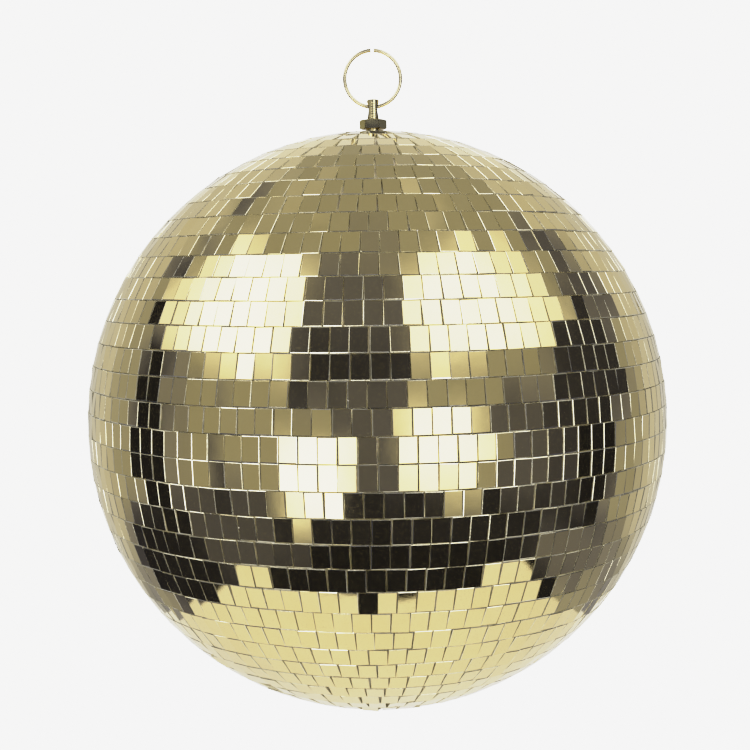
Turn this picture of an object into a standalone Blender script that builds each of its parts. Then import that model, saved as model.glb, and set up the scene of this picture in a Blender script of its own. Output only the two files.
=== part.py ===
"""Mirror ball, 300 mm across, hung from a split ring in a cross-drilled stud.

Metres, +Z up. The origin is the point inside the top of the ring that rests on a hook.
The ring holds still, the hanger swings on it about X, and the ball turns on the hanger about Z.
"""

import math

import bmesh
import bpy
from mathutils import Matrix, Vector

MM = 0.001

# Ball
BALL_R = 150 * MM  # to the middle of a tile's face
ROW_PITCH = math.radians(4.5)
ROW_COUNT = 38
TOP_ROW_EDGE = math.radians(84.7)  # latitude where the first row starts, below the top pole
ROW_THICKNESS = 1.9 * MM  # mirror glass with its mesh backing and glue
ROW_GAP = 0.4 * MM
BALL_FACETS = 32  # flats round the ball; rows and shells line theirs up, which keeps their gaps even

# Core shells
SHELL_R = 147.6 * MM
SHELL_WALL = 2.6 * MM
SHELL_ARC_STEPS = 9
LAP_HEIGHT = 6 * MM
LAP_WALL = 1.1 * MM
BOSS_R = 20 * MM
BOSS_BOTTOM = 135.5 * MM  # this and the heights below are above the ball's centre
VENT_R = 3.6 * MM

# Hanger
STUD_R = 3.15 * MM
STUD_TOP = 166.7 * MM
STUD_BOTTOM = 118 * MM
STUD_CHAMFER = 0.45 * MM
EYE_R = 1.8 * MM
EYE_HEIGHT = 162.5 * MM
EYE_SINK_R = 2.9 * MM
EYE_SINK_DEPTH = 1.0 * MM
NUT_ACROSS_FLATS = 12.7 * MM
NUT_HEIGHT = 4.8 * MM
NUT_CHAMFER_SLOPE = math.tan(math.radians(30))
NUT_BOTTOM = 151.4 * MM
NUT_TURN = math.radians(25)  # a corner of the lock nut stands this far to the right of the front
INNER_NUT_TURN = math.radians(30)
JAM_NUT_TURN = math.radians(50)

# Ring
RING_R = 14.5 * MM
WIRE_R = 1.0 * MM
RING_MOUTH = 1.4 * MM
RING_AXIS = 162.9 * MM  # height of the wire's centre where it runs through the stud
RING_STEPS = 48
WIRE_SIDES = 12

# Bearing at the top pole
CAP_R = 13 * MM
CAP_BOTTOM = 147.9 * MM
CAP_HEIGHT = 1.4 * MM
BUSH_R = 5.2 * MM
BUSH_TOP = 149.6 * MM
PLATE_R = 18 * MM
PLATE_HEIGHT = 1.9 * MM
WASHER_R = 9.5 * MM
WASHER_HEIGHT = 1.4 * MM
PLUG_R = 9 * MM
PLUG_HEIGHT = 1.5 * MM
PLUG_STEM = 6 * MM

CLEAR = 0.3 * MM  # between two pieces that touch
ROUND_STEPS = 32
EYE_STEPS = 16
BALL_CENTRE = Vector((0, 0, WIRE_R - 2 * RING_R - RING_AXIS))

FINISHES = {
    # name: colour, roughness, metallic
    "gold_mirror": ((0.80, 0.67, 0.36), 0.06, 1.0),
    "brass": ((0.78, 0.66, 0.38), 0.18, 1.0),
    "core_plastic": ((0.62, 0.56, 0.40), 0.55, 0.0),
    "zinc_steel": ((0.66, 0.67, 0.68), 0.32, 1.0),
    "nylon": ((0.86, 0.85, 0.80), 0.45, 0.0),
}


def clear_scene():
    for obj in list(bpy.data.objects):
        bpy.data.objects.remove(obj, do_unlink=True)


def make_material(name):
    colour, roughness, metallic = FINISHES[name]
    material = bpy.data.materials.new(name)
    material.use_nodes = True
    shader = material.node_tree.nodes["Principled BSDF"]
    shader.inputs["Base Color"].default_value = (*colour, 1)
    shader.inputs["Roughness"].default_value = roughness
    shader.inputs["Metallic"].default_value = metallic
    material.diffuse_color = (*colour, 1)
    return material


def add_empty(name, location, parent=None):
    empty = bpy.data.objects.new(name, None)
    empty.empty_display_size = 0.02
    empty.location = location
    empty.parent = parent
    bpy.context.scene.collection.objects.link(empty)
    return empty


def add_mesh(name, bm, material=None, parent=None, location=(0, 0, 0), smooth_below=30):
    """An object of this bmesh, with round stretches shaded smooth."""
    bmesh.ops.recalc_face_normals(bm, faces=bm.faces)
    mesh = bpy.data.meshes.new(name)
    bm.to_mesh(mesh)
    bm.free()
    mesh.shade_smooth()
    mesh.set_sharp_from_angle(angle=math.radians(smooth_below))
    if material:
        mesh.materials.append(material)
    obj = bpy.data.objects.new(name, mesh)
    obj.parent = parent
    obj.location = location
    bpy.context.scene.collection.objects.link(obj)
    return obj


def turned(profile, segments, flats_out=False):
    """A bmesh turned about Z from (radius, height) points. Where the profile starts and ends on the
    axis it is left open there, and otherwise it is closed into a ring. With flats_out, the middles
    of the flats lie at the given radii, and otherwise the corners do."""
    stretch = 1 / math.cos(math.pi / segments) if flats_out else 1
    bm = bmesh.new()
    points = [bm.verts.new((radius * stretch, 0, height)) for radius, height in profile]
    pairs = list(zip(points, points[1:]))
    if profile[0][0] > 0:
        pairs.append((points[-1], points[0]))
    edges = [bm.edges.new(pair) for pair in pairs]
    bmesh.ops.spin(
        bm,
        geom=points + edges,
        axis=(0, 0, 1),
        cent=(0, 0, 0),
        angle=math.tau,
        steps=segments,
        use_merge=True,
    )
    bmesh.ops.remove_doubles(bm, verts=bm.verts, dist=1e-7)
    return bm


def disc_profile(outer_r, inner_r, bottom, height, chamfer):
    """A washer's section, with its top outer edge chamfered."""
    top = bottom + height
    return [
        (inner_r, top),
        (outer_r - chamfer, top),
        (outer_r, top - chamfer),
        (outer_r, bottom),
        (inner_r, bottom),
    ]


def arc(radius, start, end, steps):
    """(radius, height) points along a meridian, from one latitude to another."""
    turns = [start + (end - start) * i / steps for i in range(steps + 1)]
    return [(radius * math.cos(turn), radius * math.sin(turn)) for turn in turns]


def latitude_at(radius, offset):
    """Latitude of the point on a sphere this far from the axis."""
    return math.acos(offset / radius)


def cut(obj, cutter, operation="DIFFERENCE"):
    cutter.hide_render = True
    cutter.display_type = "WIRE"
    modifier = obj.modifiers.new(cutter.name, "BOOLEAN")
    modifier.operation = operation
    modifier.solver = "EXACT"
    modifier.object = cutter


def mirror_row(number, material, parent):
    """One ring of mirror tiles, flat from its lower edge to its upper."""
    high = TOP_ROW_EDGE - (number - 1) * ROW_PITCH
    low = high - ROW_PITCH
    middle = (high + low) / 2
    outwards = Vector((math.cos(middle), math.sin(middle)))
    upwards = Vector((-math.sin(middle), math.cos(middle)))
    half = BALL_R * math.tan(ROW_PITCH / 2) - ROW_GAP / 2
    half_inside = half * (BALL_R - ROW_THICKNESS) / BALL_R
    face = outwards * BALL_R
    back = outwards * (BALL_R - ROW_THICKNESS)
    section = [
        face + upwards * half,
        face - upwards * half,
        back - upwards * half_inside,
        back + upwards * half_inside,
    ]
    height = BALL_R * math.sin(middle)
    profile = [(point.x, point.y - height) for point in section]
    band = turned(profile, BALL_FACETS, flats_out=True)
    name = f"mirror_row_{number:02d}"
    return add_mesh(name, band, material, parent, (0, 0, height), smooth_below=1)


def upper_shell(material, parent):
    """The top half of the core, with a boss for the bush and a lip that drops inside the lower half."""
    inside_r = SHELL_R - SHELL_WALL
    hole_r = BUSH_R + CLEAR
    lip_r = inside_r + LAP_WALL
    profile = arc(SHELL_R, 0, latitude_at(SHELL_R, hole_r), SHELL_ARC_STEPS)
    profile += [(hole_r, BOSS_BOTTOM), (BOSS_R, BOSS_BOTTOM)]
    profile += arc(inside_r, latitude_at(inside_r, BOSS_R), 0, SHELL_ARC_STEPS)
    profile += [(inside_r, -LAP_HEIGHT), (lip_r, -LAP_HEIGHT), (lip_r, 0)]
    return add_mesh("upper_shell", turned(profile, BALL_FACETS, flats_out=True), material, parent)


def lower_shell(material, parent):
    """The bottom half of the core, rebated inside for the lip and vented at the pole."""
    inside_r = SHELL_R - SHELL_WALL
    rebate_r = inside_r + LAP_WALL + CLEAR
    rebate_bottom = -LAP_HEIGHT - CLEAR
    rim = -math.asin(CLEAR / SHELL_R)
    step = math.asin(rebate_bottom / inside_r)
    profile = arc(SHELL_R, rim, -latitude_at(SHELL_R, VENT_R), SHELL_ARC_STEPS)
    profile += arc(inside_r, -latitude_at(inside_r, VENT_R), step, SHELL_ARC_STEPS)
    profile += [(rebate_r, rebate_bottom), (rebate_r, -CLEAR)]
    return add_mesh("lower_shell", turned(profile, BALL_FACETS, flats_out=True), material, parent)


def bottom_plug(material, parent):
    """A button that closes the vent and the hole in the tiles at the bottom pole."""
    stem_r = VENT_R - CLEAR
    face = -SHELL_R - CLEAR - PLUG_HEIGHT
    profile = [
        (0, face),
        (PLUG_R - PLUG_HEIGHT / 2, face),
        (PLUG_R, face + PLUG_HEIGHT / 2),
        (PLUG_R, face + PLUG_HEIGHT),
        (stem_r, face + PLUG_HEIGHT),
        (stem_r, face + PLUG_HEIGHT + PLUG_STEM),
        (0, face + PLUG_HEIGHT + PLUG_STEM),
    ]
    return add_mesh("bottom_plug", turned(profile, ROUND_STEPS), material, parent)


def hanger_stud(material, parent, drop):
    """A stud with chamfered ends and a countersunk eye drilled across it for the ring.
    The drop is the height of the swing axis above the ball's centre."""
    profile = [
        (0, STUD_TOP - drop),
        (STUD_R - STUD_CHAMFER, STUD_TOP - drop),
        (STUD_R, STUD_TOP - STUD_CHAMFER - drop),
        (STUD_R, STUD_BOTTOM + STUD_CHAMFER - drop),
        (STUD_R - STUD_CHAMFER, STUD_BOTTOM - drop),
        (0, STUD_BOTTOM - drop),
    ]
    stud = add_mesh("hanger_stud", turned(profile, ROUND_STEPS), material, parent)
    mouth = 2 * STUD_R
    sink = STUD_R - EYE_SINK_DEPTH
    drill = [
        (0, -mouth),
        (EYE_SINK_R, -mouth),
        (EYE_SINK_R, -STUD_R),
        (EYE_R, -sink),
        (EYE_R, sink),
        (EYE_SINK_R, STUD_R),
        (EYE_SINK_R, mouth),
        (0, mouth),
    ]
    place = (0, 0, EYE_HEIGHT - drop)
    cutter = add_mesh("eye_drill", turned(drill, EYE_STEPS), None, parent, place)
    cutter.rotation_euler.y = math.pi / 2
    cut(stud, cutter)
    return stud


def nut_mesh(material):
    """A hexagon nut standing on z = 0 with a corner at the front, its corners turned off by cones."""
    corner_r = NUT_ACROSS_FLATS / math.sqrt(3)
    bm = bmesh.new()
    bmesh.ops.create_cone(
        bm,
        cap_ends=True,
        segments=6,
        radius1=corner_r,
        radius2=corner_r,
        depth=NUT_HEIGHT,
        matrix=Matrix.Translation((0, 0, NUT_HEIGHT / 2)),
    )
    blank = add_mesh("nut_blank", bm, material)
    flat_r = NUT_ACROSS_FLATS / 2
    bore_r = STUD_R + CLEAR
    past_corner_r = corner_r + CLEAR
    fall = (past_corner_r - flat_r) * NUT_CHAMFER_SLOPE
    turned_off = [
        (bore_r, NUT_HEIGHT),
        (flat_r, NUT_HEIGHT),
        (past_corner_r, NUT_HEIGHT - fall),
        (past_corner_r, fall),
        (flat_r, 0),
        (bore_r, 0),
    ]
    lathe = add_mesh("nut_lathe", turned(turned_off, ROUND_STEPS))
    cut(blank, lathe, "INTERSECT")
    graph = bpy.context.evaluated_depsgraph_get()
    mesh = bpy.data.meshes.new_from_object(blank.evaluated_get(graph))
    mesh.name = "hexagon_nut"
    for obj in (blank, lathe):
        bpy.data.objects.remove(obj, do_unlink=True)
    return mesh


def add_nut(name, mesh, parent, height, turn):
    nut = bpy.data.objects.new(name, mesh)
    nut.parent = parent
    nut.location = (0, 0, height)
    nut.rotation_euler.z = turn
    bpy.context.scene.collection.objects.link(nut)
    return nut


def hang_ring(material, parent):
    """A ring of round wire in the XZ plane, with a narrow mouth at its top."""
    mouth_turn = RING_MOUTH / RING_R
    bm = bmesh.new()
    start = Matrix.Rotation(mouth_turn / 2, 4, "Y") @ Matrix.Translation((0, 0, RING_R))
    wire = bmesh.ops.create_circle(
        bm,
        cap_ends=True,
        segments=WIRE_SIDES,
        radius=WIRE_R,
        matrix=start @ Matrix.Rotation(math.pi / 2, 4, "Y"),
    )
    faces = list({face for vert in wire["verts"] for face in vert.link_faces})
    bmesh.ops.spin(
        bm,
        geom=faces,
        axis=(0, 1, 0),
        cent=(0, 0, 0),
        angle=math.tau - mouth_turn,
        steps=RING_STEPS,
    )
    centre = (0, 0, WIRE_R - RING_R)
    return add_mesh("hang_ring", bm, material, parent, centre)


def main():
    clear_scene()
    finish = {name: make_material(name) for name in FINISHES}

    held = add_empty("held", (0, 0, 0))
    swing_height = RING_AXIS
    hanger = add_empty("hanger_swing", (0, 0, BALL_CENTRE.z + swing_height), held)
    ball = add_empty("ball_spin", (0, 0, -swing_height), hanger)

    hang_ring(finish["brass"], held)

    hanger_stud(finish["brass"], hanger, swing_height)
    nut = nut_mesh(finish["brass"])
    pitch = NUT_HEIGHT + CLEAR
    plate_bottom = BOSS_BOTTOM - CLEAR - PLATE_HEIGHT
    washer_bottom = plate_bottom - CLEAR - WASHER_HEIGHT
    inner_nut_height = washer_bottom - pitch - swing_height
    add_nut("lock_nut", nut, hanger, NUT_BOTTOM - swing_height, NUT_TURN)
    add_nut("inner_nut", nut, hanger, inner_nut_height, INNER_NUT_TURN)
    add_nut("inner_jam_nut", nut, hanger, inner_nut_height - pitch, JAM_NUT_TURN)

    upper_shell(finish["core_plastic"], ball)
    lower_shell(finish["core_plastic"], ball)
    bore_r = STUD_R + CLEAR
    fit_r = BUSH_R + CLEAR
    bush_bottom = plate_bottom + CLEAR
    rings = [
        # name, finish, outer radius, inner radius, bottom, height, chamfer
        ("top_pole_cap", "brass", CAP_R, fit_r, CAP_BOTTOM, CAP_HEIGHT, 0.5 * MM),
        ("pole_bush", "brass", BUSH_R, bore_r, bush_bottom, BUSH_TOP - bush_bottom, 0.4 * MM),
        ("load_plate", "zinc_steel", PLATE_R, fit_r, plate_bottom, PLATE_HEIGHT, 0.3 * MM),
        ("thrust_washer", "nylon", WASHER_R, bore_r, washer_bottom, WASHER_HEIGHT, 0.2 * MM),
    ]
    for name, kind, outer_r, inner_r, bottom, height, chamfer in rings:
        profile = disc_profile(outer_r, inner_r, 0, height, chamfer)
        add_mesh(name, turned(profile, ROUND_STEPS), finish[kind], ball, (0, 0, bottom))
    bottom_plug(finish["brass"], ball)
    for number in range(1, ROW_COUNT + 1):
        mirror_row(number, finish["gold_mirror"], ball)


main()
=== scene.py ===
"""Mirror ball: the finished pieces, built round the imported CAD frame, in metres.

The ball carries rows of separately set glass tiles on a glued core. The hanger is a threaded stud
with a countersunk eye, held by hexagon nuts, and it swings on a ring of round wire.
"""

import math
import random

import bmesh
import bpy
from mathutils import Matrix, Vector, noise


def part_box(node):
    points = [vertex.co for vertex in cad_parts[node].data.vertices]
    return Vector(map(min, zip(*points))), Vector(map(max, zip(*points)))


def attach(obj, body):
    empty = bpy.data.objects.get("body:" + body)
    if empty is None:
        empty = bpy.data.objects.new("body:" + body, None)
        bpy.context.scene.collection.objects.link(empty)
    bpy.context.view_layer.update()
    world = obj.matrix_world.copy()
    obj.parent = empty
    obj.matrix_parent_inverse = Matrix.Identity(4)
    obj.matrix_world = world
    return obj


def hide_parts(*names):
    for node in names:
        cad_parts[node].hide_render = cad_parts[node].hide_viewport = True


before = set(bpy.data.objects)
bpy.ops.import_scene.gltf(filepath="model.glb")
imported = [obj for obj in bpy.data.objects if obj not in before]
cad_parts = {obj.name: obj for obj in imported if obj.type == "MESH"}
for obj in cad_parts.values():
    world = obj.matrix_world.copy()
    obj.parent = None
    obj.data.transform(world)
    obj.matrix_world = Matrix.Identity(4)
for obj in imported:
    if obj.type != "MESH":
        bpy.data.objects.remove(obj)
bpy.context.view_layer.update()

MM = 0.001
CLEAR = 0.3 * MM  # the gap that the CAD keeps between pieces that touch
CAD_FACETS = 32

# Camera
VIEW_DISTANCE = 0.69  # from the ball's centre
VIEW_ELEVATION = math.radians(6.7)
VIEW_ROLL = math.radians(-0.8)
LENS = 62.33
BALL_RIGHT_OF_MIDDLE = 0.00177  # where the ball's centre lies in the view, as slopes off the view axis
BALL_BELOW_MIDDLE = 0.0331

# Tiles. The widths of chamfers are least and most.
TILE_PITCH = 8.46 * MM
TIGHTEST_PITCH = 8.22 * MM
TILE_WIDTH = 8.08 * MM
HALF_TILE_PITCH = 4.21 * MM  # where tiles of half the width stand, in the rows at the poles
HALF_TILES_WITHIN = 18.6 * MM  # of the axis, measured at a row's poleward edge
ROW_GAP = 0.32 * MM
TILE_DEPTH = 1.75 * MM
CHAMFER = (0.07 * MM, 0.34 * MM)  # at a tile's sides and top
LOWER_CHAMFER = (0.05 * MM, 0.50 * MM)
CHAMFER_DEPTH = 0.16 * MM
BREAK_CONTRAST = 1.6  # between the clean and the broken stretches of the lower chamfers
BREAK_CELLS = 5  # noise cells to a radius
POLEWARD_WEAR = 0.65  # how much narrower the side chamfers get, up to this latitude
WEAR_LATITUDE = math.radians(50)

# How unevenly the tiles are set
TILE_SLIDE = 0.3  # of the gap beside it
LOOSE_TILES = 0.07  # share of tiles that slide further
LOOSE_SLIDE = 1.0
CORNER_SLIP = 0.05 * MM
ROW_WAVE = 0.30 * MM
WAVES_ROUND = 2.5  # noise cells to a radius
TILE_TWIST = 0.006
TILE_TILT = math.radians(1.1)
ODD_TILT = math.radians(4.5)
ODD_TILES = 0.012
ALIGNED_ROWS = (19, 20)  # their joints are in line

# Core
SHELL_WALL = 2.6 * MM
LAP_HEIGHT = 6 * MM
LAP_WALL = 1.1 * MM
BOSS_R = 20 * MM
VENT_R = 3.6 * MM
GLUE_RISE = 0.95 * MM
GLUE_BUMPS = 0.22 * MM
BUMP_CELLS = 40  # noise cells to a radius
GLUE_SWELL = 0.40 * MM
SWELL_CELLS = 7
GLUE_ENDS = 84  # degrees of latitude
GLUE_SPECKS = 170
SPECK_R = (0.22 * MM, 0.55 * MM)
SPECK_SINK = 0.35  # of its radius
SPECK_LUMPS = 0.25
LUMP_CELLS = 2500  # noise cells to a metre

# Button at the bottom pole
FLANGE_HEIGHT = 1.5 * MM
DOME_R = 1.1 * MM
STEM_R = 3.3 * MM

rows = sorted(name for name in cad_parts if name.startswith("mirror_row_"))
ball_centre = Vector((0, 0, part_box("lower_shell")[1].z + CLEAR))
ball_r = max(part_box(name)[1].x for name in rows) * math.cos(math.pi / CAD_FACETS)
draw = random.Random(7)


# Camera, light and floor


def add_camera():
    """A camera that sees the ball's centre a little below the middle of its view."""
    data = bpy.data.cameras.new("camera")
    data.lens = LENS
    data.sensor_width = 36
    data.clip_start = 0.01
    camera = bpy.data.objects.new("camera", data)
    bpy.context.scene.collection.objects.link(camera)
    back = Vector((0, -math.cos(VIEW_ELEVATION), math.sin(VIEW_ELEVATION)))
    straight = (-back).to_track_quat("-Z", "Y").to_matrix()
    roll = Matrix.Rotation(VIEW_ROLL, 3, "Z")
    to_ball = Vector((BALL_RIGHT_OF_MIDDLE, -BALL_BELOW_MIDDLE, -1))
    aim = to_ball.rotation_difference(Vector((0, 0, -1))).to_matrix()
    camera.matrix_world = (
        Matrix.Translation(ball_centre + back * VIEW_DISTANCE) @ (straight @ roll @ aim).to_4x4()
    )
    bpy.context.scene.camera = camera


def add_node(tree, kind, values=(), **settings):
    """A shader node with its settings, and with its inputs set by name or number."""
    node = tree.nodes.new(kind)
    for key, value in settings.items():
        setattr(node, key, value)
    for key, value in dict(values).items():
        if isinstance(value, bpy.types.NodeSocket):
            tree.links.new(value, node.inputs[key])
        else:
            node.inputs[key].default_value = value
    return node


def maths(tree, operation, *values):
    return add_node(tree, "ShaderNodeMath", enumerate(values), operation=operation).outputs[0]


BACKDROP = 4.0  # bright enough to reach the top of the film curve
ROOM = 0.35
DARK_TINT = (1.0, 1.03, 1.75)  # the unlit room's colour
LIT_TINT = (1.0, 1.0, 0.97)
LIT_FROM = 0.33  # radiance from which the light has its own colour
STUDIO = [
    # What the ball reflects, as panels laid one over another: azimuth and elevation of the middle,
    # half width, half height, softness of the sides and of the ends, and radiance. Angles are in
    # degrees, and azimuth 0 is towards the camera and positive to its right.
    (180, 8, 56, 39, 10, 6, 0.60),  # white sweep behind
    (180, 2, 20, 32, 9, 10, 0.98),  # its bright middle
    (-5, 72, 32, 14, 8, 5, 0.25),  # ceiling above the camera
    (0, -50, 112, 26, 6, 3, 0.012),  # unlit floor in front of the table
    (140, -29, 26, 5, 10, 4, 0.24),  # shadow where the table meets the sweep
    (-140, -29, 26, 5, 10, 4, 0.26),
    (-84, -2, 8, 21, 5, 3, 0.23),  # wall, left, and the black curtain beside it
    (-98, -2, 9, 21, 2, 3, 0.012),
    (-103, -33, 25, 13, 6, 4, 0.014),  # unlit floor, left
    (-60, -32, 24, 14, 3, 4, 0.08),
    (-62, -10, 2, 23, 1, 3, 0.035),  # a lamp stand
    (-14, 39, 24, 27, 3, 6, 0.12),  # wall behind the camera, dark where the panels don't light it
    (-13, 24, 21, 13, 5, 8, 0.028),
    (-3, -8, 14, 28, 3, 4, 0.105),
    (58, -4, 13, 19, 3, 3, 0.10),  # wall, right, in steps down to black
    (74, -12, 9, 22, 4, 4, 0.055),
    (91, -4, 11, 21, 3, 3, 0.012),
    (92, 16, 19, 18, 5, 6, 0.03),
    (20, -31, 62, 9, 5, 4, 0.02),  # black skirting and brown floor, right
    (97, -36, 24, 6, 4, 3, 0.16),
    (-73, 39, 35, 20, 3, 3, 1.22),  # large softbox, left: its cloth, then its bright middle
    (-67, 40, 23, 17, 12, 5, 3.6),
    (-111, 28, 3, 8, 2, 3, 0.012),  # black rim beside it
    (-118, 37, 4, 5, 2, 3, 0.012),
    (-125, 43, 5, 4, 2, 2, 0.02),
    (-136, 48, 9, 3, 4, 2, 0.06),
    (53, 45, 40, 20, 4, 3, 1.20),  # large softbox, right
    (47, 45, 26, 17, 13, 5, 2.9),
    (117, 34, 6, 15, 4, 5, 0.09),
    (-23, -15, 15, 16, 2, 2, 1.15),  # small softbox, left
    (-23, -15, 12, 13, 4, 4, 4.0),
    (23, -4, 15, 16, 2, 2, 1.15),  # small softbox, right
    (23, -4, 12, 12, 5, 4, 3.2),
    (104, 79, 9, 5, 4, 2, 0.85),  # glints in the ceiling
    (-100, 70, 4, 7, 3, 3, 0.50),
    (142, 72, 14, 3, 6, 2, 0.58),
    (-30, 78, 22, 2, 8, 2, 0.46),
    (60, 77, 20, 2, 8, 2, 0.46),
    (-140, 62, 26, 4, 8, 2, 0.46),
]


def add_studio():
    """Light from soft panels round the ball. The camera itself sees an even pale backdrop."""
    world = bpy.data.worlds.new("studio")
    world.use_nodes = True
    tree = world.node_tree
    background = tree.nodes["Background"]
    way = add_node(tree, "ShaderNodeTexCoord").outputs["Generated"]
    x, y, z = add_node(tree, "ShaderNodeSeparateXYZ", {0: way}).outputs
    to_right = maths(tree, "ARCTAN2", x, maths(tree, "MULTIPLY", y, -1.0))
    azimuth = maths(tree, "DEGREES", to_right)
    elevation = maths(tree, "DEGREES", maths(tree, "ARCSINE", z))
    radiance = ROOM
    for middle, height, half_width, half_height, soft_sides, soft_ends, value in STUDIO:
        masks = []
        for angle, centre, half, soft in (
            (azimuth, middle, half_width, soft_sides),
            (elevation, height, half_height, soft_ends),
        ):
            way_off = maths(tree, "WRAP", maths(tree, "SUBTRACT", angle, centre), 180.0, -180.0)
            edge = {"Value": maths(tree, "ABSOLUTE", way_off), "To Min": 1.0, "To Max": 0.0}
            edge |= {"From Min": half - soft, "From Max": half + soft}
            fade = add_node(tree, "ShaderNodeMapRange", edge, interpolation_type="SMOOTHSTEP")
            masks.append(fade.outputs["Result"])
        mask = maths(tree, "MULTIPLY", *masks)
        blend = {"Factor": mask, "A": radiance, "B": value}
        radiance = add_node(tree, "ShaderNodeMix", blend, data_type="FLOAT").outputs["Result"]
    seen = add_node(tree, "ShaderNodeLightPath").outputs["Is Camera Ray"]
    strength = {"Factor": seen, "A": radiance, "B": BACKDROP}
    lit = add_node(tree, "ShaderNodeMix", strength, data_type="FLOAT").outputs["Result"]
    tree.links.new(lit, background.inputs["Strength"])
    lit_share = maths(tree, "DIVIDE", radiance, LIT_FROM)
    tints = {"Factor": lit_share, "A": (*DARK_TINT, 1), "B": (*LIT_TINT, 1)}
    tint = add_node(tree, "ShaderNodeMix", tints, data_type="RGBA")
    tree.links.new(tint.outputs["Result"], background.inputs["Color"])
    bpy.context.scene.world = world


FILM_CURVE = [
    # radiance and its tone: straight up to 0.6, then rolling off
    (0, 0), (0.3, 0.3), (0.6, 0.6), (0.755, 0.712), (0.9, 0.765),
    (1.1, 0.812), (1.6, 0.85), (2.1, 0.873), (4, 0.913),
]


def set_film():
    """Highlights roll off below paper white, which is the backdrop's tone."""
    view = bpy.context.scene.view_settings
    view.view_transform = "Standard"
    view.use_curve_mapping = True
    curves = view.curve_mapping
    curves.clip_max_x = FILM_CURVE[-1][0]
    curves.extend = "HORIZONTAL"
    for channel in range(3):
        points = curves.curves[channel].points
        points[0].location = FILM_CURVE[0]
        points[1].location = FILM_CURVE[-1]
        for place in FILM_CURVE[1:-1]:
            points.new(*place)
    curves.update()


TABLE_DROP = 0.35  # below the ball's centre
TABLE_SIDE = 0.33
TABLE_FRONT = 0.27
TABLE_BACK = 0.85
TABLE_GLOW = 0.25  # light coming through it from below


def add_floor():
    """A white table under the ball, which the camera sees in the backdrop's own tone."""
    material = bpy.data.materials.new("white_table")
    material.use_nodes = True
    tree = material.node_tree
    shader = tree.nodes["Principled BSDF"]
    shader.inputs["Base Color"].default_value = (0.80, 0.80, 0.79, 1)
    shader.inputs["Emission Color"].default_value = (1, 1, 1, 1)
    shader.inputs["Emission Strength"].default_value = TABLE_GLOW
    shader.inputs["Roughness"].default_value = 0.9
    plain = add_node(tree, "ShaderNodeEmission", {"Strength": BACKDROP})
    seen = add_node(tree, "ShaderNodeLightPath").outputs["Is Camera Ray"]
    mixed = add_node(tree, "ShaderNodeMixShader", {0: seen, 1: shader.outputs[0], 2: plain.outputs[0]})
    tree.links.new(mixed.outputs[0], tree.nodes["Material Output"].inputs["Surface"])
    mesh = bpy.data.meshes.new("floor")
    sides = [-TABLE_SIDE, TABLE_SIDE, TABLE_SIDE, -TABLE_SIDE]
    ends = [-TABLE_FRONT, -TABLE_FRONT, TABLE_BACK, TABLE_BACK]
    height = ball_centre.z - TABLE_DROP
    mesh.from_pydata([(x, y, height) for x, y in zip(sides, ends)], [], [(0, 1, 2, 3)])
    mesh.materials.append(material)
    floor = bpy.data.objects.new("floor", mesh)
    bpy.context.scene.collection.objects.link(floor)


# Materials


def new_material(name, roughness, metallic, **sockets):
    material = bpy.data.materials.new(name)
    material.use_nodes = True
    shader = material.node_tree.nodes["Principled BSDF"]
    shader.inputs["Roughness"].default_value = roughness
    shader.inputs["Metallic"].default_value = metallic
    for key, value in sockets.items():
        shader.inputs[key.replace("_", " ")].default_value = value
    return material, material.node_tree, shader


def speckle(tree, scale, stretch=(1, 1, 1), turn=(0, 0, 0), detail=2.0):
    """Noise in the object's own metres, stretched along an axis where its scale is small."""
    place = add_node(tree, "ShaderNodeTexCoord").outputs["Object"]
    mapping = {"Vector": place, "Scale": stretch, "Rotation": turn}
    at = add_node(tree, "ShaderNodeMapping", mapping).outputs[0]
    texture = {"Vector": at, "Scale": scale, "Detail": detail}
    return add_node(tree, "ShaderNodeTexNoise", texture).outputs["Fac"]


def ranged(tree, value, low, high, to_low, to_high):
    span = {"Value": value, "From Min": low, "From Max": high, "To Min": to_low, "To Max": to_high}
    return add_node(tree, "ShaderNodeMapRange", span).outputs["Result"]


def two_tone(tree, shader, mask, first, second):
    """Base colour that runs from the first to the second as the mask goes from 0 to 1."""
    ramp = add_node(tree, "ShaderNodeValToRGB", {"Fac": mask})
    ramp.color_ramp.elements[0].color = (*first, 1)
    ramp.color_ramp.elements[1].color = (*second, 1)
    tree.links.new(ramp.outputs["Color"], shader.inputs["Base Color"])


def bumped(tree, shader, height, distance, strength=1.0, under=None):
    values = {"Height": height, "Distance": distance, "Strength": strength}
    if under is not None:
        values["Normal"] = under
    bump = add_node(tree, "ShaderNodeBump", values)
    tree.links.new(bump.outputs["Normal"], shader.inputs["Normal"])
    return bump.outputs["Normal"]


def mirror_glass():
    """Gold mirror under clear glass: each tile its own gold, faintly rippled, scratched and dusty."""
    material, tree, shader = new_material("gold_mirror", 0.04, 1.0, Coat_Weight=0.3, Coat_Roughness=0.03)
    tile = add_node(tree, "ShaderNodeNewGeometry").outputs["Random Per Island"]
    cloud = speckle(tree, 90, detail=3)
    two_tone(tree, shader, maths(tree, "MULTIPLY_ADD", cloud, 0.6, maths(tree, "MULTIPLY", tile, 0.4)),
             (0.80, 0.645, 0.27), (0.88, 0.73, 0.35))
    scratches = maths(tree, "MAXIMUM", speckle(tree, 420, (1, 1, 14), (0.3, 0.5, 0.2)),
                      speckle(tree, 420, (14, 1, 1), (0.1, 0.7, 0.6)))
    tree.links.new(ranged(tree, scratches, 0.62, 0.75, 0.035, 0.11), shader.inputs["Roughness"])
    dust = speckle(tree, 1500, detail=2)
    tree.links.new(ranged(tree, dust, 0.55, 0.8, 1.0, 0.90), shader.inputs["Metallic"])
    ripple = bumped(tree, shader, speckle(tree, 110, detail=1), 0.012 * MM)
    bumped(tree, shader, scratches, 0.002 * MM, under=ripple)
    return material


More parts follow.
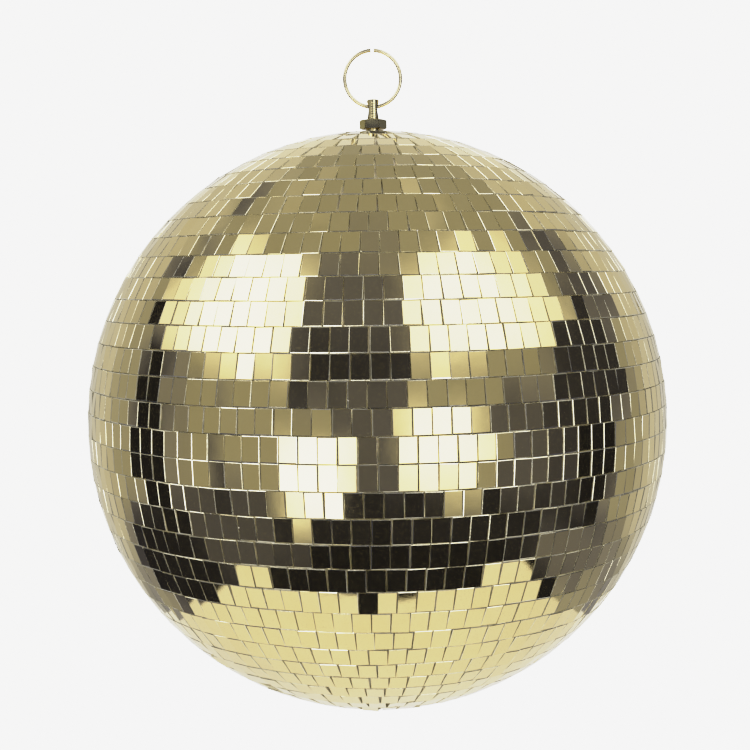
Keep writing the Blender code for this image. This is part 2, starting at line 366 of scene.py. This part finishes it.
def bevelled_edge():
    """The bright broken bevel round a tile's face."""
    material, tree, shader = new_material("tile_bevel", 0.2, 1.0)
    two_tone(tree, shader, ranged(tree, speckle(tree, 300, detail=3), 0.35, 0.65, 0, 1),
             (0.80, 0.73, 0.50), (0.94, 0.89, 0.70))
    bumped(tree, shader, speckle(tree, 900, detail=3), 0.04 * MM)
    return material


def glass_edge():
    """The cut, ground sides of a tile."""
    material, tree, shader = new_material("tile_edge", 0.34, 0.0, IOR=1.5)
    two_tone(tree, shader, ranged(tree, speckle(tree, 260, detail=4), 0.35, 0.65, 0, 1),
             (0.40, 0.36, 0.22), (0.80, 0.73, 0.48))
    bumped(tree, shader, speckle(tree, 1400, detail=2), 0.02 * MM)
    return material


def set_glue():
    """Cream glue on the core, pinkish and whiter where it is thick."""
    material, tree, shader = new_material("core_glue", 0.42, 0.0)
    two_tone(tree, shader, ranged(tree, speckle(tree, 130, detail=3), 0.4, 0.65, 0, 1),
             (0.78, 0.73, 0.52), (0.84, 0.76, 0.64))
    bumped(tree, shader, speckle(tree, 700, detail=3), 0.10 * MM)
    return material


def polished_brass(name, lines, roughness, clean, tarnished):
    """Brass with faint tool lines along the stretch given, tarnish and handling marks."""
    material, tree, shader = new_material(name, roughness, 1.0, Specular_Tint=(0.42, 0.36, 0.24, 1))
    tarnish = ranged(tree, speckle(tree, 90, detail=1), 0.35, 0.7, 0, 1)
    two_tone(tree, shader, tarnish, clean, tarnished)
    marks = speckle(tree, 80, lines, detail=1)
    worn = ranged(tree, marks, 0.3, 0.75, roughness * 0.7, roughness * 1.7)
    tree.links.new(worn, shader.inputs["Roughness"])
    bumped(tree, shader, marks, 0.002 * MM)
    return material


def plated_steel():
    material, tree, shader = new_material("zinc_steel", 0.3, 1.0)
    spangle = ranged(tree, speckle(tree, 240, detail=5), 0.35, 0.65, 0, 1)
    two_tone(tree, shader, spangle, (0.58, 0.60, 0.62), (0.76, 0.77, 0.77))
    tree.links.new(ranged(tree, spangle, 0, 1, 0.24, 0.42), shader.inputs["Roughness"])
    bumped(tree, shader, speckle(tree, 900, (1, 1, 8)), 0.01 * MM)
    return material


def moulded(name, first, second, roughness):
    material, tree, shader = new_material(name, roughness, 0.0)
    two_tone(tree, shader, speckle(tree, 180, detail=4), first, second)
    bumped(tree, shader, speckle(tree, 1600, detail=2), 0.03 * MM)
    return material


# Shapes


def add_piece(name, bm, materials, body, replaced, sharp_above=None):
    """Puts a finished mesh on its body, in place of the CAD nodes it stands for."""
    mesh = bpy.data.meshes.new(name)
    bm.to_mesh(mesh)
    bm.free()
    if sharp_above is not None:
        mesh.shade_smooth()
        mesh.set_sharp_from_angle(angle=math.radians(sharp_above))
    for material in materials:
        mesh.materials.append(material)
    obj = bpy.data.objects.new(name, mesh)
    bpy.context.scene.collection.objects.link(obj)
    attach(obj, body)
    if replaced:
        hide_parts(*replaced)
    return obj


def turned(profile, steps, bm=None):
    """A ring or a solid turned about Z from (radius, height) points, heights in the frame."""
    bm = bm or bmesh.new()
    columns = []
    for step in range(steps):
        turn = math.tau * step / steps
        across = Vector((math.cos(turn), math.sin(turn), 0))
        column = [across * radius + Vector((0, 0, height)) for radius, height in profile]
        columns.append([bm.verts.new(point) for point in column])
    closed = profile[0][0] > 0
    for left, right in zip(columns, columns[1:] + columns[:1]):
        for i in range(len(profile) - (not closed)):
            below = (i + 1) % len(profile)
            bm.faces.new((left[i], left[below], right[below], right[i]))
    bmesh.ops.remove_doubles(bm, verts=bm.verts, dist=1e-8)
    bmesh.ops.recalc_face_normals(bm, faces=bm.faces)
    return bm


def rounded_ring(inner_r, outer_r, bottom, top, edge, steps=3):
    """A washer's section with its outer edges rounded off, anticlockwise from the bore's top."""
    points = [(inner_r, top)]
    for corner, start in ((top - edge, 90), (bottom + edge, 0)):
        for i in range(steps + 1):
            turn = math.radians(start - 90 * i / steps)
            points.append((outer_r - edge + edge * math.cos(turn), corner + edge * math.sin(turn)))
    points.append((inner_r, bottom))
    return points


def cut_mesh(obj, cutter, operation="DIFFERENCE"):
    """Cuts one mesh by another for good, and removes the cutter."""
    modifier = obj.modifiers.new("cut", "BOOLEAN")
    modifier.operation = operation
    modifier.solver = "EXACT"
    modifier.object = cutter
    graph = bpy.context.evaluated_depsgraph_get()
    graph.update()
    cut = bpy.data.meshes.new_from_object(obj.evaluated_get(graph))
    obj.modifiers.clear()
    bpy.data.objects.remove(cutter, do_unlink=True)
    return cut


def loose(name, bm):
    mesh = bpy.data.meshes.new(name)
    bm.to_mesh(mesh)
    bm.free()
    obj = bpy.data.objects.new(name, mesh)
    bpy.context.scene.collection.objects.link(obj)
    return obj


def cut_bmesh(blank, cutter, operation="DIFFERENCE"):
    """The bmesh left when one bmesh is cut by, or kept inside, another."""
    solid = loose("blank", blank)
    mesh = cut_mesh(solid, loose("cutter", cutter), operation)
    bpy.data.objects.remove(solid, do_unlink=True)
    bm = bmesh.new()
    bm.from_mesh(mesh)
    bpy.data.meshes.remove(mesh)
    return bm


# Ball


def row_latitude(name):
    """Latitude of the middle of a CAD row, from the corners of its face, which lie farthest out."""
    verts = [vert.co - ball_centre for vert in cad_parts[name].data.vertices]
    farthest = max(way.length for way in verts)
    corners = [math.asin(way.z / way.length) for way in verts if way.length > farthest - 0.5 * MM]
    return (min(corners) + max(corners)) / 2


def row_tiles(latitude, pitch_angle):
    """How many tiles go round a row, and how wide they are."""
    poleward = min(abs(latitude) + pitch_angle / 2, math.pi / 2)
    poleward_r = math.cos(poleward) * ball_r
    if poleward_r < HALF_TILES_WITHIN:
        return int(math.tau * poleward_r / HALF_TILE_PITCH), TILE_WIDTH / 2
    by_middle = round(math.tau * ball_r * math.cos(latitude) / TILE_PITCH)
    by_edge = int(math.tau * poleward_r / TIGHTEST_PITCH)
    return min(by_middle, by_edge), TILE_WIDTH


def tile_frame(latitude, longitude):
    """Outwards, east and north at a place on the ball."""
    out = Vector((
        math.cos(latitude) * math.cos(longitude),
        math.cos(latitude) * math.sin(longitude),
        math.sin(latitude),
    ))
    east = Vector((-math.sin(longitude), math.cos(longitude), 0))
    return out, east, out.cross(east)


def set_unevenly(out, east, north, gap):
    """Where a tile's face lies and how it is turned, each a little off."""
    place = ball_centre + out * ball_r
    slide = TILE_SLIDE if draw.random() > LOOSE_TILES else LOOSE_SLIDE
    place += east * gap * slide * draw.uniform(-1, 1)
    place += north * ROW_WAVE * noise.noise(out * WAVES_ROUND)
    tilt = TILE_TILT if draw.random() > ODD_TILES else ODD_TILT
    lean = Vector((draw.gauss(0, tilt), draw.gauss(0, tilt)))
    out = (out + east * lean.x + north * lean.y).normalized()
    twist = draw.gauss(0, TILE_TWIST)
    east = east + north * twist
    east = (east - out * east.dot(out)).normalized()
    return place, out, east, out.cross(east)


def add_tile(bm, latitude, longitude, width, height, gap):
    """One glass tile: a mirror face, a broken chamfer and cut sides. Returns its four face corners."""
    way, east, north = tile_frame(latitude, longitude)
    place, out, east, north = set_unevenly(way, east, north, gap)
    slips = [(draw.gauss(0, CORNER_SLIP), draw.gauss(0, CORNER_SLIP)) for _ in range(4)]
    corners = [(1, 1), (-1, 1), (-1, -1), (1, -1)]
    wear = 1 - POLEWARD_WEAR * min(1, abs(latitude) / WEAR_LATITUDE)
    sides = {1: draw.uniform(*CHAMFER) * wear, -1: draw.uniform(*CHAMFER) * wear}
    broken = min(1, max(0, 0.5 + BREAK_CONTRAST * noise.noise(way * BREAK_CELLS)))
    least, most = LOWER_CHAMFER
    ends = {1: draw.uniform(*CHAMFER), -1: least + broken * draw.uniform(0.6, 1) * most}
    rings = []
    for inset, depth, spread in (
        (1, 0, 1),
        (0, CHAMFER_DEPTH, 1),
        (0, TILE_DEPTH, 1 - TILE_DEPTH / ball_r),
    ):
        ring = []
        for (right, up), (slip_x, slip_y) in zip(corners, slips):
            across = right * (width / 2 * spread - inset * sides[right]) + slip_x
            along = up * (height / 2 * spread - inset * ends[up]) + slip_y
            ring.append(bm.verts.new(place + east * across + north * along - out * depth))
        rings.append(ring)
    bm.faces.new(rings[0]).material_index = 0
    for level, (upper, lower) in enumerate(zip(rings, rings[1:]), start=1):
        for i in range(4):
            j = (i + 1) % 4
            bm.faces.new((upper[i], lower[i], lower[j], upper[j])).material_index = level
    bm.faces.new(rings[2][::-1]).material_index = 2
    return [vert.co.copy() for vert in rings[0]]


def add_rows(mirror, bevel, edge):
    """Every row of tiles. Returns the tiles' corners, where glue squeezes out."""
    latitudes = [row_latitude(name) for name in rows]
    pitch = (latitudes[0] - latitudes[-1]) / (len(rows) - 1)
    height = 2 * ball_r * math.tan(pitch / 2) - ROW_GAP
    corners = []
    phase = 0
    for number, (name, latitude) in enumerate(zip(rows, latitudes), start=1):
        count, width = row_tiles(latitude, pitch)
        start = draw.uniform(0, math.tau)
        if number != ALIGNED_ROWS[1]:
            phase = start
        bm = bmesh.new()
        gap = math.tau * ball_r * math.cos(latitude) / count - width
        for i in range(count):
            corners.append(add_tile(bm, latitude, phase + math.tau * i / count, width, height, gap))
        add_piece(f"tiles_row_{number:02d}", bm, [mirror, bevel, edge], "ball", [name])
    return corners


def arc(radius, start, end, steps):
    """(radius, height) points along a meridian, between two latitudes in degrees."""
    turns = [math.radians(start + (end - start) * i / steps) for i in range(steps + 1)]
    return [(radius * math.cos(turn), ball_centre.z + radius * math.sin(turn)) for turn in turns]


def spread_glue(bm, skin_from):
    """Lifts the outside of the core into an uneven layer of glue that stops short of the poles."""
    for vert in bm.verts:
        way = vert.co - ball_centre
        if way.length < skin_from:
            continue
        out = way.normalized()
        latitude = math.degrees(math.asin(max(-1, min(1, out.z))))
        cover = max(0, min(1, GLUE_ENDS - abs(latitude)))
        bumps = GLUE_BUMPS * noise.noise(out * BUMP_CELLS)
        rise = GLUE_RISE + bumps + GLUE_SWELL * noise.noise(out * SWELL_CELLS)
        vert.co = ball_centre + out * (way.length + rise * cover)


def core_halves(shell_r):
    """Both halves of the core: a boss under the top hole, a lap joint at the middle, a vent below."""
    inside_r = shell_r - SHELL_WALL
    hole_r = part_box("pole_bush")[1].x + CLEAR
    boss_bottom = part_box("load_plate")[1].z + CLEAR
    lap_bottom = ball_centre.z - LAP_HEIGHT
    top = math.degrees(math.acos(hole_r / shell_r))
    boss = math.degrees(math.acos(BOSS_R / inside_r))
    profile = arc(shell_r, 0, top, 90) + [(hole_r, boss_bottom), (BOSS_R, boss_bottom)]
    profile += arc(inside_r, boss, 0, 24)
    lip_r = inside_r + LAP_WALL
    profile += [(inside_r, lap_bottom), (lip_r, lap_bottom), (lip_r, ball_centre.z)]
    upper = turned(profile[::-1], 180)
    bottom = math.degrees(math.acos(VENT_R / shell_r))
    rim = -math.degrees(CLEAR / shell_r)
    profile = arc(shell_r, rim, -bottom, 90) + arc(inside_r, -bottom, -3, 24)
    profile += [(lip_r + CLEAR, lap_bottom - CLEAR), (lip_r + CLEAR, ball_centre.z - CLEAR)]
    return upper, turned(profile, 180)


def add_core(glue, plastic):
    """The hollow core, with the glue that holds the tiles on its outside."""
    shell_r = ball_centre.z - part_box("lower_shell")[0].z
    skin_from = shell_r - 0.5 * MM
    upper, lower = core_halves(shell_r)
    for name, bm, node in (("core_upper", upper, "upper_shell"), ("core_lower", lower, "lower_shell")):
        for face in bm.faces:
            inside = (face.calc_center_median() - ball_centre).length < skin_from
            face.material_index = int(inside)
        spread_glue(bm, skin_from)
        add_piece(name, bm, [glue, plastic], "ball", [node], sharp_above=40)


def add_glue_specks(corners, glue):
    """Small beads of glue at some of the tiles' corners and edges."""
    bm = bmesh.new()
    for tile in draw.sample(corners, GLUE_SPECKS):
        first, second = tile[1], tile[2]
        if draw.random() < 0.4:
            first, second = tile[0], tile[1]
        place = first.lerp(second, draw.choice((0.0, 1.0, draw.random())))
        out = (place - ball_centre).normalized()
        size = draw.uniform(*SPECK_R)
        spin = Matrix.Rotation(draw.uniform(0, math.tau), 4, out)
        shape = Matrix.Diagonal((1, draw.uniform(0.5, 0.9), draw.uniform(0.4, 0.8), 1))
        at = Matrix.Translation(place - out * size * SPECK_SINK) @ spin @ shape
        made = bmesh.ops.create_icosphere(bm, subdivisions=2, radius=size, matrix=at)
        for vert in made["verts"]:
            vert.co += out * SPECK_LUMPS * size * noise.noise(vert.co * LUMP_CELLS)
    add_piece("glue_specks", bm, [glue], "ball", [], sharp_above=60)


def add_pole_fittings(brass, steel, nylon):
    """The turned rings at the top pole and the button at the bottom one."""
    for name, node, edge, material, slot in (
        ("pole_cap", "top_pole_cap", 0.45 * MM, brass, "brass"),
        ("bearing_bush", "pole_bush", 0.35 * MM, brass, "brass"),
        ("steel_load_plate", "load_plate", 0.3 * MM, steel, "zinc_steel"),
        ("nylon_thrust_washer", "thrust_washer", 0.2 * MM, nylon, "nylon"),
    ):
        low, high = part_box(node)
        verts = [vert.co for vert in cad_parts[node].data.vertices]
        inner_r = min(math.hypot(co.x, co.y) for co in verts)
        bm = turned(rounded_ring(inner_r, high.x, low.z, high.z, edge), 96)
        add_piece(name, bm, [material], "ball", [node], sharp_above=30)
    low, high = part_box("bottom_plug")
    flange = low.z + FLANGE_HEIGHT
    rim_r = high.x - DOME_R
    profile = [(0, low.z)]
    for i in range(1, 9):
        turn = math.radians(90 * i / 8)
        profile.append((rim_r + DOME_R * math.sin(turn), low.z + DOME_R - DOME_R * math.cos(turn)))
    profile += [(high.x, flange), (STEM_R, flange), (STEM_R, high.z), (0, high.z)]
    bm = turned(profile, 96)
    add_piece("bottom_button", bm, [brass], "ball", ["bottom_plug"], sharp_above=30)


# Hanger

STUD_STEPS = 72
STUD_CHAMFER = 0.45 * MM
STUD_EASE = 0.2 * MM  # where the chamfers have a ring of their own
THREAD_PITCH = 1.27 * MM
THREAD_DEPTH = 0.022 * MM
THREAD_STEPS = 9  # to one pitch
PLAIN_TOP = 1.6 * MM  # of the stud, above its thread
EYE_R = 1.8 * MM
EYE_DROP = 4.2 * MM  # below the stud's top
EYE_SINK_R = 2.9 * MM
EYE_SINK_DEPTH = 1.0 * MM
EYE_WEAR = 2.1  # how much longer the countersinks are below
NUT_FLAT_R = 6.35 * MM
NUT_BORE_R = 3.45 * MM
NUT_SINK = 0.5 * MM
NUT_CORNERS_FROM = 7.0 * MM  # only the CAD nut's corners lie outside this
NUT_EDGE = 0.42 * MM
NUT_CHAMFER_SLOPE = math.tan(math.radians(30))
RING_MOUTH = 1.4 * MM
RING_STEPS = 180
WIRE_SIDES = 28
WIRE_DRESS = 0.15 * MM  # how far the wire's cut ends are rounded off


def stud_radius(height, turn, low, high, radius):
    """The stud's radius at a height and a turn: chamfered ends and a shallow worn thread."""
    ends = max(0, STUD_CHAMFER - min(high - height, height - low))
    if high - height < PLAIN_TOP:
        return radius - ends
    groove = ((height / THREAD_PITCH) - turn / math.tau) % 1
    dip = max(0, 1 - abs(groove - 0.5) / 0.3)
    return radius - ends - THREAD_DEPTH * dip


def stud_blank(low, high, radius):
    """The threaded stud before its eye is drilled."""
    threaded = high - low - 2 * STUD_CHAMFER
    fine = int(threaded / (THREAD_PITCH / THREAD_STEPS))
    heights = [low, low + STUD_EASE, low + STUD_CHAMFER]
    heights += [low + STUD_CHAMFER + threaded * i / fine for i in range(1, fine + 1)]
    heights += [high - STUD_EASE, high]
    bm = bmesh.new()
    columns = []
    for step in range(STUD_STEPS):
        turn = math.tau * step / STUD_STEPS
        across = Vector((math.cos(turn), math.sin(turn), 0))
        column = [
            across * stud_radius(height, turn, low, high, radius) + Vector((0, 0, height))
            for height in heights
        ]
        columns.append([bm.verts.new(point) for point in column])
    for left, right in zip(columns, columns[1:] + columns[:1]):
        for i in range(len(heights) - 1):
            bm.faces.new((left[i], right[i], right[i + 1], left[i + 1]))
    bm.faces.new([column[0] for column in columns][::-1])
    bm.faces.new([column[-1] for column in columns])
    return bm


def eye_drill(height, radius):
    """What the eye is cut with: a hole along X, countersunk at both ends and longer below."""
    mouth = 2 * radius
    sink = radius - EYE_SINK_DEPTH
    profile = [(0, -mouth), (EYE_SINK_R + mouth - radius, -mouth), (EYE_SINK_R, -radius), (EYE_R, -sink)]
    profile += [(r, -h) for r, h in profile[::-1]]
    drill = turned(profile, 48)
    for vert in drill.verts:
        if vert.co.x > 0 and abs(vert.co.z) > sink:
            vert.co.x *= EYE_WEAR
    along_x = Matrix.Rotation(math.pi / 2, 3, "Y")
    bmesh.ops.rotate(drill, verts=drill.verts, cent=(0, 0, 0), matrix=along_x)
    bmesh.ops.translate(drill, verts=drill.verts, vec=(0, 0, height))
    bmesh.ops.recalc_face_normals(drill, faces=drill.faces)
    return drill


def add_stud(brass):
    low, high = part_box("hanger_stud")
    blank = stud_blank(low.z, high.z, high.x)
    stud = cut_bmesh(blank, eye_drill(high.z - EYE_DROP, high.x))
    add_piece("threaded_stud", stud, [brass], "hanger", ["hanger_stud"], sharp_above=32)


def corner_turn(node):
    """Turn of a CAD nut's first corner about Z, from all of its corners."""
    turns = [
        6 * math.atan2(vert.co.y, vert.co.x)
        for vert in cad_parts[node].data.vertices
        if math.hypot(vert.co.x, vert.co.y) > NUT_CORNERS_FROM
    ]
    return math.atan2(sum(map(math.sin, turns)), sum(map(math.cos, turns))) / 6


def nut_bmesh(node):
    """A hexagon nut where a CAD nut is: rounded corners, chamfered faces and a countersunk bore."""
    low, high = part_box(node)
    corner_r = NUT_FLAT_R / math.cos(math.pi / 6)
    turns = [corner_turn(node) + math.pi / 3 * i for i in range(6)]
    outline = [(corner_r * math.cos(turn), corner_r * math.sin(turn)) for turn in turns]
    bm = bmesh.new()
    bottom = [bm.verts.new((x, y, low.z)) for x, y in outline]
    top = [bm.verts.new((x, y, high.z)) for x, y in outline]
    bm.faces.new(bottom[::-1])
    bm.faces.new(top)
    uprights = []
    for i in range(6):
        j = (i + 1) % 6
        bm.faces.new((bottom[i], bottom[j], top[j], top[i]))
        uprights.append(bm.edges.get((bottom[i], top[i])))
    bmesh.ops.bevel(bm, geom=uprights, offset=NUT_EDGE, segments=4, affect="EDGES")
    past_r = corner_r + CLEAR
    fall = (past_r - NUT_FLAT_R) * NUT_CHAMFER_SLOPE
    sunk_r = NUT_BORE_R + NUT_SINK
    lathe = turned([
        (sunk_r, high.z), (NUT_FLAT_R, high.z), (past_r, high.z - fall), (past_r, low.z + fall),
        (NUT_FLAT_R, low.z), (sunk_r, low.z),
        (NUT_BORE_R, low.z + NUT_SINK), (NUT_BORE_R, high.z - NUT_SINK),
    ], 96)
    return cut_bmesh(bm, lathe, "INTERSECT")


def add_nuts(brass):
    for name, node in (
        ("hex_lock_nut", "lock_nut"),
        ("hex_inner_nut", "inner_nut"),
        ("hex_jam_nut", "inner_jam_nut"),
    ):
        add_piece(name, nut_bmesh(node), [brass], "hanger", [node], sharp_above=32)


def add_split_ring(brass):
    """The ring of round wire, its two ends cut square and dressed, meeting at the top."""
    low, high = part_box("hang_ring")
    wire_r = (high.y - low.y) / 2
    ring_r = (high.x - low.x) / 2 - wire_r
    middle = Vector((0, 0, low.z + ring_r + wire_r))
    mouth = RING_MOUTH / ring_r
    dress = WIRE_DRESS / ring_r
    end_scale = 1 - WIRE_DRESS / wire_r
    span = math.tau - mouth - 2 * dress
    stations = [(mouth / 2, end_scale), (mouth / 2 + dress, 1)]
    stations += [(mouth / 2 + dress + span * i / RING_STEPS, 1) for i in range(1, RING_STEPS + 1)]
    stations.append((math.tau - mouth / 2, end_scale))
    bm = bmesh.new()
    rings = []
    for turn, scale in stations:
        out = Vector((math.sin(turn), 0, math.cos(turn)))
        ring = []
        for i in range(WIRE_SIDES):
            side = math.tau * i / WIRE_SIDES
            across = Vector((0, wire_r * scale * math.sin(side), 0))
            ring.append(bm.verts.new(middle + out * (ring_r + wire_r * scale * math.cos(side)) + across))
        rings.append(ring)
    for ahead, behind in zip(rings[1:], rings):
        for i in range(WIRE_SIDES):
            j = (i + 1) % WIRE_SIDES
            bm.faces.new((behind[i], behind[j], ahead[j], ahead[i]))
    bm.faces.new(rings[0])
    bm.faces.new(rings[-1])
    bmesh.ops.recalc_face_normals(bm, faces=bm.faces)
    add_piece("split_ring", bm, [brass], "ring", ["hang_ring"], sharp_above=35)


def main():
    add_camera()
    add_studio()
    set_film()
    add_floor()
    mirror = mirror_glass()
    glue = set_glue()
    plastic = moulded("core_plastic", (0.58, 0.52, 0.37), (0.66, 0.60, 0.44), 0.55)
    nylon = moulded("nylon", (0.82, 0.81, 0.76), (0.88, 0.87, 0.83), 0.42)
    bright = [(0.82, 0.71, 0.38), (0.75, 0.64, 0.33)]
    # painted shade: the nuts are the same brass as the stud, given these darker colours to stand in for
    # the dark studio their facets reflect
    dark = [(0.62, 0.55, 0.29), (0.50, 0.44, 0.22)]
    # painted reflection: the ring's wire is the same brass as the stud, given these paler, less
    # saturated colours to stand in for the white backdrop it reflects
    pale = [(0.78, 0.70, 0.46), (0.72, 0.64, 0.41)]
    turned_brass = polished_brass("turned_brass", (1, 1, 6), 0.17, *bright)
    nut_brass_painted_shade = polished_brass("nut_brass_painted_shade", (1, 1, 3), 0.12, *dark)
    drawn_brass_painted_reflection = polished_brass("drawn_brass_painted_reflection", (1, 1, 1), 0.3, *pale)
    corners = add_rows(mirror, bevelled_edge(), glass_edge())
    add_core(glue, plastic)
    add_glue_specks(corners, glue)
    add_pole_fittings(turned_brass, plated_steel(), nylon)
    add_stud(turned_brass)
    add_nuts(nut_brass_painted_shade)
    add_split_ring(drawn_brass_painted_reflection)


main()
